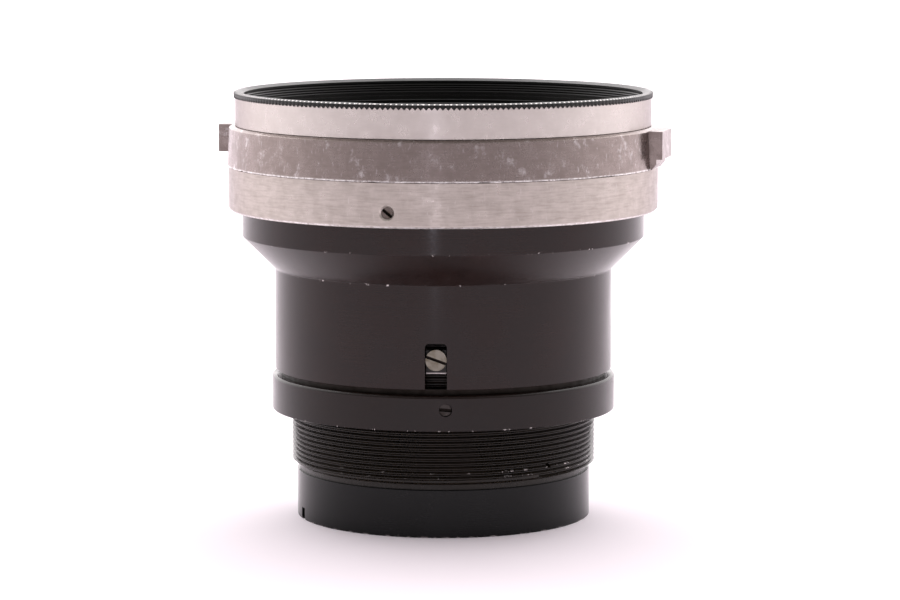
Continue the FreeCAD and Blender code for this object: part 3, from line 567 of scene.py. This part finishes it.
def make_thread():
    """The helical thread with its tube: a grid that follows the helix, so each crest is one line."""
    segments, rows_per_turn = 480, len(THREAD_FORM)
    bottom, top = bottom_of("threaded_tube"), top_of("threaded_tube")
    lip = top_of("rear_flint_lens")
    above = [(THREAD_RADIUS - THREAD_DEPTH, top), (TUBE_UPPER_BORE, top),
             (TUBE_UPPER_BORE, lip + TUBE_LIP_HEIGHT), (TUBE_LIP_BORE, lip + TUBE_LIP_HEIGHT),
             (TUBE_LIP_BORE, lip), (TUBE_BORE, lip), (TUBE_BORE, bottom),
             (UNDERCUT_RADIUS, bottom), (UNDERCUT_RADIUS, THREAD_BOTTOM - THREAD_DEPTH)]
    vertices, count = [], 0
    for step in range(segments):
        angle = 2 * math.pi * step / segments
        column = thread_column(angle)
        count = len(column)
        for radius, height in column + above:
            vertices.append((radius * math.cos(angle), radius * math.sin(angle), height))
    size = count + len(above)
    faces = []
    for step in range(segments):
        seam = rows_per_turn if step == segments - 1 else 0
        here, there = step * size, (step + 1) % segments * size

        def beyond(row):
            return there + (min(row + seam, count - 1) if row < count else row)

        for row in range(size):
            following = (row + 1) % size
            if row == size - 1 and seam:
                faces.append((here + row, there + row, there + seam, there, here))
            else:
                faces.append((here + row, beyond(row), beyond(following), here + following))
    piece = add_mesh("thread_tube", vertices, faces)
    clean(piece)
    nick_azimuth, nick_height = 43.0, 13.4 * MM
    nick_profile = [(0.42 * MM, 29.9 * MM), (0.55 * MM, 31.6 * MM)]
    carve(piece, tool_rod(nick_profile, radial_matrix(nick_azimuth, nick_height), sides=16))
    return stand_in(finish_mesh(piece, 25.0), "threaded_tube", "rear_barrel", THREAD_BLACK)


def make_foot():
    """The smooth foot with its finely serrated rear edge and two spanner notches."""
    spigot_top = top_of("rear_ring")
    teeth, tooth_depth, tooth_height = 210, 0.16 * MM, 0.5 * MM
    outline = soften([(FOOT_RADIUS, 0.0), (FOOT_RADIUS, tooth_height), (FOOT_RADIUS, FOOT_SHOULDER),
                      (TUBE_BORE, FOOT_SHOULDER), (TUBE_BORE, spigot_top), (FOOT_BORE, spigot_top),
                      (FOOT_BORE, FOOT_CHAMFER), (FOOT_BORE + FOOT_CHAMFER, 0.0)], 0.15 * MM)

    def serrated(angle, radius, height):
        if radius > UNDERCUT_RADIUS and height < 0.6 * tooth_height:
            return radius - tooth_depth * tooth_at(angle, teeth), height
        return radius, height

    piece = lathe("foot_ring", outline, teeth * 4, serrated)
    inner_low, outer_high = (-1.0 * MM, -1.0 * MM, 28.8 * MM), (1.0 * MM, 2.4 * MM, 31.0 * MM)
    notches = [tool_box(inner_low, outer_high, radial_matrix(azimuth, 0.0)) for azimuth in NOTCH_AZIMUTHS]
    carve(piece, *notches)
    return stand_in(finish_mesh(piece), "rear_ring", "rear_barrel", FOOT_BLACK)


def make_register_nut():
    """The ring nut on the thread: softened edges and the hole of its set screw."""
    bore = THREAD_RADIUS + RUNNING_GAP
    radius, low, high = radius_of("register_ring"), bottom_of("register_ring"), top_of("register_ring")
    chamfer = 0.4 * MM
    outline = soften([(bore, low), (radius, low), (radius, high - chamfer), (radius - chamfer, high),
                      (bore, high)], 0.16 * MM)
    piece = lathe("register_nut", outline)
    hole_radius, inside, outside = 1.28 * MM, 30.0 * MM, 36.0 * MM
    azimuth, height = place_of("register_set_screw")
    carve(piece, tool_rod([(hole_radius, inside), (hole_radius, outside)], radial_matrix(azimuth, height)))
    return stand_in(finish_mesh(piece), "register_ring", "register_ring", NUT_BLACK)


# ---------------------------------------------------------------- front barrel

def slot_outline(width, low, high, corner, steps=6):
    """An upright slot with two rounded upper corners."""
    half = width / 2
    points = [(-half, low), (half, low)]
    for side, start in ((1, 0.0), (-1, 90.0)):
        for step in range(steps + 1):
            angle = math.radians(start + 90.0 * step / steps)
            points.append((side * (half - corner) + corner * math.cos(angle),
                           high - corner + corner * math.sin(angle)))
    return points


def make_sleeve():
    """The black sleeve with its cone and flange, and the slot that the key runs in."""
    bore = THREAD_RADIUS + RUNNING_GAP
    low, high = bottom_of("barrel_sleeve"), top_of("barrel_sleeve")
    outline = soften([(bore, low), (SLEEVE_RADIUS, low), (SLEEVE_RADIUS, CONE_BOTTOM),
                      (FLANGE_RADIUS, CONE_TOP), (FLANGE_RADIUS, high), (SLEEVE_CHAMBER_RADIUS, high),
                      (SLEEVE_CHAMBER_RADIUS, SLEEVE_CHAMBER_BOTTOM), (bore, SLEEVE_BORE_TOP)], 0.14 * MM)
    piece = lathe("sleeve_shell", outline)
    below, outside = -2.0 * MM, 36.0 * MM
    slot = tool_prism(slot_outline(KEY_SLOT_WIDTH, below, KEY_SLOT_TOP - low, KEY_SLOT_CORNER),
                      UNDERCUT_RADIUS, outside, radial_matrix(KEY_AZIMUTH, low))
    carve(piece, slot)
    return stand_in(finish_mesh(piece), "barrel_sleeve", "front_barrel", SLEEVE_BLACK)


def make_lower_band():
    """The lower band: a bright chamfer below and three countersunk holes for its grub screws."""
    radius, low, high = radius_of("lower_band"), bottom_of("lower_band"), top_of("lower_band")
    chamfer = 0.5 * MM
    outline = soften([(FLANGE_RADIUS, low), (radius - chamfer, low), (radius, low + chamfer),
                      (radius, high), (FLANGE_RADIUS, high)], 0.10 * MM)
    piece = lathe("band_lower", outline, 480)
    hole_radius, sink_radius, inside = 1.17 * MM, 1.62 * MM, 40.5 * MM
    profile = [(hole_radius, inside), (hole_radius, radius - 0.35 * MM),
               (sink_radius, radius + 0.10 * MM), (sink_radius, radius + 1.0 * MM)]
    holes = []
    for index in (1, 2, 3):
        azimuth, height = place_of("band_grub_screw_%d" % index)
        holes.append(tool_rod(profile, radial_matrix(azimuth, height)))
    carve(piece, *holes)
    return stand_in(finish_mesh(piece), "lower_band", "front_barrel", LOWER_METAL)


def make_upper_ring():
    """The bright upper ring, with the web that seats the front cell."""
    radius, low, high = radius_of("upper_ring"), bottom_of("upper_ring"), top_of("upper_ring")
    outline = soften([(radius, low), (radius, high), (UPPER_RING_BORE, high),
                      (UPPER_RING_BORE, UPPER_WEB_TOP), (UPPER_WEB_BORE, UPPER_WEB_TOP),
                      (UPPER_WEB_BORE, low)], 0.07 * MM)
    piece = lathe("band_upper", outline, 480)
    return stand_in(finish_mesh(piece), "upper_ring", "front_barrel", UPPER_METAL)


def make_bezel():
    """The black rim: V teeth over the upper ring's edge, a chamfered lip and the filter thread."""
    radius, low, high = radius_of("front_bezel"), bottom_of("front_bezel"), top_of("front_bezel")
    ledge = top_of("upper_ring")
    tooth_length, groove_depth = 0.54 * MM, 0.18 * MM
    thread = []
    for row in range(4):
        start = high - 0.9 * MM - row * FILTER_PITCH
        thread += [(FILTER_RADIUS, start), (FILTER_RADIUS + 0.18 * MM, start - 0.24 * MM),
                   (FILTER_RADIUS, start - 0.48 * MM)]
    outline = [(BEZEL_SKIRT_RADIUS, low), (BEZEL_SKIRT_RADIUS, ledge + 0.02 * MM),
               (radius - 0.24 * MM, ledge + 0.02 * MM),
               (radius - 0.24 * MM, ledge - 0.01 * MM), (radius - 0.04 * MM, ledge - 0.02 * MM),
               (radius, high - 0.22 * MM), (radius - 0.28 * MM, high - 0.07 * MM),
               (radius - 0.42 * MM, high), (LIP_RADIUS, high), (FILTER_RADIUS, high - 0.5 * MM)] + thread
    outline += [(FILTER_RADIUS, FILTER_BOTTOM), (BEZEL_SHOULDER_RADIUS, FILTER_BOTTOM),
                (BEZEL_SHOULDER_RADIUS, low)]

    def toothed(angle, at_radius, height):
        tooth = tooth_at(angle, RIM_TEETH)
        if at_radius > radius - 0.25 * MM and height < ledge + 0.01 * MM:
            return at_radius, height - tooth_length * tooth
        if at_radius > radius - 0.45 * MM:
            return at_radius - groove_depth * (1.0 - tooth), height
        return at_radius, height

    piece = lathe("bezel_rim", outline, RIM_TEETH * 4, toothed)
    return stand_in(finish_mesh(piece, 25.0), "front_bezel", "front_barrel", BEZEL_BLACK)


def make_retainer():
    """The ring that holds the front glass, with two spanner slots."""
    low, high = bottom_of("front_retainer"), top_of("front_retainer")
    outer, inner = 35.98 * MM, 34.05 * MM
    outline = soften([(outer, low), (outer, high), (inner, high), (inner, low)], 0.12 * MM)
    piece = lathe("retaining_ring", outline)
    slot_half, slot_depth = 0.6 * MM, 0.7 * MM
    slots = []
    for azimuth in (35.0, 215.0):
        matrix = Matrix.Rotation(math.radians(azimuth), 4, "Z")
        slots.append(tool_box((-slot_half, -37.0 * MM, high - slot_depth),
                              (slot_half, -33.0 * MM, high + MM), matrix))
    carve(piece, *slots)
    return stand_in(finish_mesh(piece), "front_retainer", "front_barrel", INNER_BLACK)


# ---------------------------------------------------------------- glass

def make_lens(node, body, material, low, low_curve, high, high_curve, shelf=None):
    """A smooth glass element between two vertex heights. A positive curve has its centre below, a
    negative one above, and 0 is flat; shelf is a flat rim that the lower face doesn't pass."""
    radius = radius_of(node) - 0.01 * MM
    segments, rings = 160, 28

    def face_height(vertex, curve, across):
        if not curve:
            return vertex
        sagitta = abs(curve) - math.sqrt(curve * curve - across * across)
        return vertex - math.copysign(sagitta, curve)

    outline = []
    for ring in range(1, rings + 1):
        across = radius * ring / rings
        height = face_height(low, low_curve, across)
        outline.append((across, max(height, shelf) if shelf else height))
    for ring in range(rings, 0, -1):
        across = radius * ring / rings
        outline.append((across, face_height(high, high_curve, across)))
    piece = lathe(node.replace("_lens", "_glass"), outline, segments)
    work = bmesh.new()
    work.from_mesh(piece.data)
    work.verts.ensure_lookup_table()
    count = len(outline)
    # The lathe joins the innermost rings to each other; two poles close them instead.
    inner = [[work.verts[step * count + row] for step in range(segments)] for row in (0, count - 1)]
    joined = set(inner[0]) | set(inner[1])
    bmesh.ops.delete(work, geom=[face for face in work.faces if set(face.verts) <= joined],
                     context="FACES_ONLY")
    for row, vertex, flip in ((inner[0], low, True), (inner[1], high, False)):
        pole = work.verts.new((0.0, 0.0, vertex))
        for step in range(segments):
            corners = [row[step], row[(step + 1) % segments], pole]
            work.faces.new(corners[::-1] if flip else corners)
    bmesh.ops.recalc_face_normals(work, faces=work.faces)
    work.to_mesh(piece.data)
    work.free()
    return stand_in(finish_mesh(piece, 50.0), node, body, material)


def make_glass():
    """The four elements; the front doublet's two keep a hair's gap at their cemented joint."""
    joint, joint_curve, cement_gap = bottom_of("front_crown_lens"), -400 * MM, 0.02 * MM
    make_lens("front_crown_lens", "front_barrel", FRONT_GLASS, joint, joint_curve,
              top_of("front_crown_lens"), 200 * MM)
    make_lens("front_flint_lens", "front_barrel", FRONT_GLASS, bottom_of("front_flint_lens"), 0.0,
              joint - cement_gap, joint_curve)
    make_lens("rear_crown_lens", "rear_barrel", REAR_GLASS, bottom_of("rear_crown_lens"), -150 * MM,
              top_of("rear_crown_lens"), 90 * MM)
    seat, hollow_depth = bottom_of("rear_flint_lens"), 2.5 * MM
    make_lens("rear_flint_lens", "rear_barrel", REAR_GLASS, seat + hollow_depth, 80 * MM,
              top_of("rear_flint_lens"), 0.0, shelf=seat)


# ---------------------------------------------------------------- aperture ring

def make_aperture_ring():
    """The middle band: a slight taper, a bevelled top edge and a burred, nicked lower edge."""
    bore = FLANGE_RADIUS + RUNNING_GAP
    low, high = bottom_of("aperture_ring"), top_of("aperture_ring")
    outline = soften([(bore, low), (BAND_LOWER_RADIUS, low), (BAND_SHOULDER_RADIUS, BAND_SHOULDER),
                      (BAND_TOP_RADIUS, high), (bore, high)], 0.07 * MM)
    coarse, fine = ragged(11, 90), ragged(12, 420)

    def burred(angle, at_radius, height):
        if at_radius > BAND_LOWER_RADIUS - 0.3 * MM and height < low + 0.2 * MM:
            nick = max(0.0, coarse(angle) - 0.55) * 0.30
            burr = 0.05 * abs(fine(angle))
            return at_radius - (nick * 0.5 + burr * 0.4) * MM, height + (nick - burr) * MM
        return at_radius, height

    piece = lathe("band_aperture", outline, 720, burred)
    hole_radius, inside, outside = 0.82 * MM, 40.0 * MM, 45.0 * MM
    azimuth, height = place_of("iris_drive_screw")
    carve(piece, tool_rod([(hole_radius, inside), (hole_radius, outside)], radial_matrix(azimuth, height)))
    return stand_in(finish_mesh(piece), "aperture_ring", "aperture_ring", MIDDLE_METAL)


make_thread()
make_foot()
make_register_nut()
make_sleeve()
make_lower_band()
make_upper_ring()
make_bezel()
make_retainer()
make_glass()
make_aperture_ring()

# Screws, key and lugs: the CAD shapes with broken edges.
SMALL_PIECES = (
    ("key", "key_block", "rear_barrel", "black_anodised", 0.12, KEY_BLACK),
    ("key_screw_head", "key_screw", "rear_barrel", "plain_steel", 0.07, KEY_STEEL),
    ("set_screw", "register_set_screw", "register_ring", "blued_steel", 0.08, DARK_STEEL),
    ("grub_screw_1", "band_grub_screw_1", "front_barrel", "plain_steel", 0.05, GRUB_STEEL),
    ("grub_screw_2", "band_grub_screw_2", "front_barrel", "plain_steel", 0.05, GRUB_STEEL),
    ("grub_screw_3", "band_grub_screw_3", "front_barrel", "plain_steel", 0.05, GRUB_STEEL),
    ("drive_screw", "iris_drive_screw", "aperture_ring", "plain_steel", 0.06, SCREW_STEEL),
    ("grip_lug_right", "right_lug", "aperture_ring", "scuffed_aluminium", 0.22, MIDDLE_METAL),
    ("grip_lug_left", "left_lug", "aperture_ring", "scuffed_aluminium", 0.22, MIDDLE_METAL),
)
for name, node, body, slot, width, material in SMALL_PIECES:
    stand_in(softened_copy(name, node, width * MM), node, body, material)

# CAD nodes that stay as they are.
DRESSED = {
    "rear_spacer_ring": INNER_BLACK, "rear_retainer": INNER_BLACK, "front_cell": INNER_BLACK,
    "head_tube": INNER_BLACK, "iris_housing": INNER_BLACK, "iris_retainer": INNER_BLACK,
    "iris_rotor": BLADE_STEEL, "thrust_washer": WASHER_METAL,
}
for node, material in DRESSED.items():
    dress(node, material)
for number in range(1, 11):
    dress("iris_blade_%02d" % number, BLADE_STEEL)


# ---------------------------------------------------------------- stage, light and camera

def make_floor():
    """A wide, plain, pale floor."""
    half = 4000 * MM
    floor = add_mesh("floor", [(-half, -half, 0), (half, -half, 0), (half, half, 0), (-half, half, 0)],
                     [(0, 1, 2, 3)])
    graph = Graph("floor_pale")
    cloud = graph.noise((1.0, 1.0, 1.0), 60.0, detail=2.0)
    tone = graph.blend(graph.step(cloud, 0.3, 0.7), (0.95, 0.885, 0.935), (0.94, 0.875, 0.925))
    graph.surface(Base_Color=tone, Roughness=0.85, Specular_IOR_Level=0.15,
                  Emission_Color=(1.0, 0.95, 0.99), Emission_Strength=0.05)
    floor.data.materials.append(graph.material)


def area_light(name, place, target, width, height, power, colour=(1.0, 1.0, 1.0)):
    """A rectangular light that points at its target and that the camera doesn't see."""
    data = bpy.data.lights.new(name, "AREA")
    data.shape = "RECTANGLE"
    data.size, data.size_y = width, height
    data.energy = power
    data.color = colour
    light = bpy.data.objects.new(name, data)
    light.location = place
    light.visible_camera = False
    light.rotation_euler = (Vector(target) - Vector(place)).to_track_quat("-Z", "Y").to_euler()
    bpy.context.scene.collection.objects.link(light)


def make_world():
    """White at the sides, behind and above, and dim on the camera's side, as in a light tent."""
    world = bpy.data.worlds.new("tent")
    world.use_nodes = True
    bpy.context.scene.world = world
    tree = world.node_tree
    tree.nodes.clear()
    place = tree.nodes.new("ShaderNodeTexCoord")
    split = tree.nodes.new("ShaderNodeSeparateXYZ")
    tree.links.new(place.outputs["Generated"], split.inputs[0])
    ramp = tree.nodes.new("ShaderNodeMapRange")
    ramp.interpolation_type = "SMOOTHSTEP"
    for socket, value in (("From Min", -1.0), ("From Max", 1.0), ("To Min", 0.26), ("To Max", 2.25)):
        ramp.inputs[socket].default_value = value
    tree.links.new(split.outputs["Y"], ramp.inputs["Value"])
    background = tree.nodes.new("ShaderNodeBackground")
    background.inputs["Color"].default_value = (1.0, 0.955, 0.965, 1.0)
    tree.links.new(ramp.outputs[0], background.inputs["Strength"])
    output = tree.nodes.new("ShaderNodeOutputWorld")
    tree.links.new(background.outputs[0], output.inputs["Surface"])


def make_camera():
    """A long lens from 0.72 m in front, tilted down by 7 degrees."""
    tilt = 7.06
    camera = bpy.data.objects.new("camera", bpy.data.cameras.new("camera"))
    camera.data.lens = 141.3
    camera.data.sensor_width = 36.0
    camera.location = (1.36 * MM, -718.8 * MM, 132.9 * MM)
    camera.rotation_euler = (math.radians(90.0 - tilt), 0.0, 0.0)
    bpy.context.scene.collection.objects.link(camera)
    bpy.context.scene.camera = camera


make_floor()
make_world()
area_light("backdrop", place=(0.0, 1.7, 1.8), target=(0.0, 1.5, 0.0), width=3.0, height=2.0, power=36.0)
area_light("streak", place=(-0.058, -0.62, 0.012), target=(0.0, 0.0, 0.075), width=0.024, height=0.02,
           power=0.020, colour=(0.88, 0.86, 1.0))
make_camera()
bpy.context.scene.view_settings.view_transform = "Standard"
